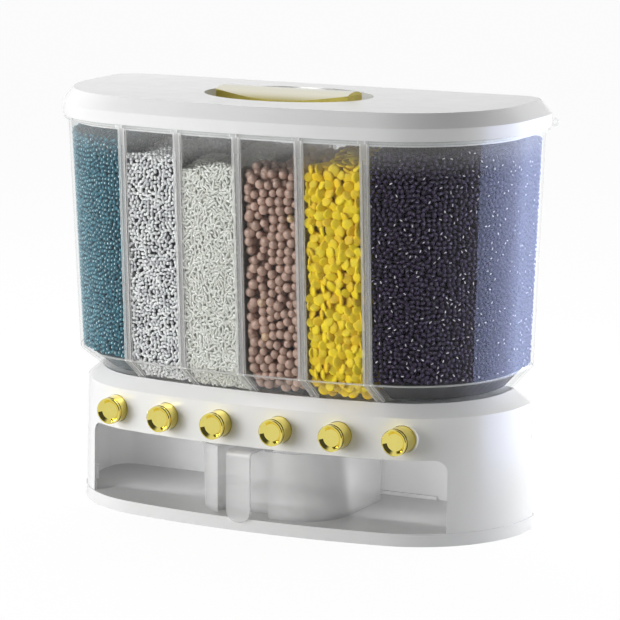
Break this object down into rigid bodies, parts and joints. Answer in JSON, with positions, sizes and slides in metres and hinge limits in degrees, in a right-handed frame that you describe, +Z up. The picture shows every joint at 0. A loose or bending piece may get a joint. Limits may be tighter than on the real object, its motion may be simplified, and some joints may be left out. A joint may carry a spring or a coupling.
{
  "type": "wall-mounted cereal dispenser",
  "caption": "White and clear wall-mounted dry food dispenser with separate compartments, gold push buttons, a lift-off lid and a measuring cup in its base.",
  "frame": {"origin": "centre of the overall box, on the underside that can stand on a shelf", "axes": "+X along the wall to the viewer's right, +Y into the wall, +Z up"},
  "size_m": [0.42, 0.184, 0.36],
  "materials": {
    "white_plastic": "gloss",
    "clear_plastic": "clear",
    "frosted_plastic": "translucent",
    "gold": "polished",
    "zinc_steel": "zinc plated",
    "soft_rubber": "soft"
  },
  "bodies": {
    "dispenser": {"base_housing": "white_plastic", "base_tray": "white_plastic", "tray_screws": "zinc_steel", "chute_deck": "white_plastic", "hopper": "white_plastic", "tank_shell": "clear_plastic", "shutter_guide_1": "white_plastic", "shutter_guide_2": "white_plastic", "shutter_guide_3": "white_plastic", "shutter_guide_4": "white_plastic", "shutter_guide_5": "white_plastic", "shutter_guide_6": "white_plastic", "divider_1": "clear_plastic", "divider_2": "clear_plastic", "divider_3": "clear_plastic", "divider_4": "clear_plastic", "divider_5": "clear_plastic", "return_spring_1": "zinc_steel", "return_spring_2": "zinc_steel", "return_spring_3": "zinc_steel", "return_spring_4": "zinc_steel", "return_spring_5": "zinc_steel", "return_spring_6": "zinc_steel"},
    "lid_assembly": {"lid": "white_plastic", "lid_seal": "soft_rubber", "lid_handle": "gold", "handle_screws": "zinc_steel"},
    "cup": {"measuring_cup": "frosted_plastic"},
    "pusher_1": {"button_1": "gold", "shutter_1": "white_plastic"},
    "pusher_2": {"button_2": "gold", "shutter_2": "white_plastic"},
    "pusher_3": {"button_3": "gold", "shutter_3": "white_plastic"},
    "pusher_4": {"button_4": "gold", "shutter_4": "white_plastic"},
    "pusher_5": {"button_5": "gold", "shutter_5": "white_plastic"},
    "pusher_6": {"button_6": "gold", "shutter_6": "white_plastic"}
  },
  "joints": [
    {"name": "lid_lift", "type": "slide", "parent": "dispenser", "child": "lid_assembly", "axis": [0, 0, 1], "range_m": [0, 0.06]},
    {"name": "cup_pull", "type": "slide", "parent": "dispenser", "child": "cup", "axis": [0, -1, 0], "range_m": [0, 0.16]},
    {"name": "button_1_press", "type": "slide", "parent": "dispenser", "child": "pusher_1", "axis": [0, 1, 0], "range_m": [0, 0.014], "stiffness_N_per_m": 250, "springref_m": -0.008, "deforming": ["return_spring_1"]},
    {"name": "button_2_press", "type": "slide", "parent": "dispenser", "child": "pusher_2", "axis": [0, 1, 0], "range_m": [0, 0.014], "stiffness_N_per_m": 250, "springref_m": -0.008, "deforming": ["return_spring_2"]},
    {"name": "button_3_press", "type": "slide", "parent": "dispenser", "child": "pusher_3", "axis": [0, 1, 0], "range_m": [0, 0.014], "stiffness_N_per_m": 250, "springref_m": -0.008, "deforming": ["return_spring_3"]},
    {"name": "button_4_press", "type": "slide", "parent": "dispenser", "child": "pusher_4", "axis": [0, 1, 0], "range_m": [0, 0.014], "stiffness_N_per_m": 250, "springref_m": -0.008, "deforming": ["return_spring_4"]},
    {"name": "button_5_press", "type": "slide", "parent": "dispenser", "child": "pusher_5", "axis": [0, 1, 0], "range_m": [0, 0.014], "stiffness_N_per_m": 250, "springref_m": -0.008, "deforming": ["return_spring_5"]},
    {"name": "button_6_press", "type": "slide", "parent": "dispenser", "child": "pusher_6", "axis": [0, 1, 0], "range_m": [0, 0.014], "stiffness_N_per_m": 250, "springref_m": -0.008, "deforming": ["return_spring_6"]}
  ]
}
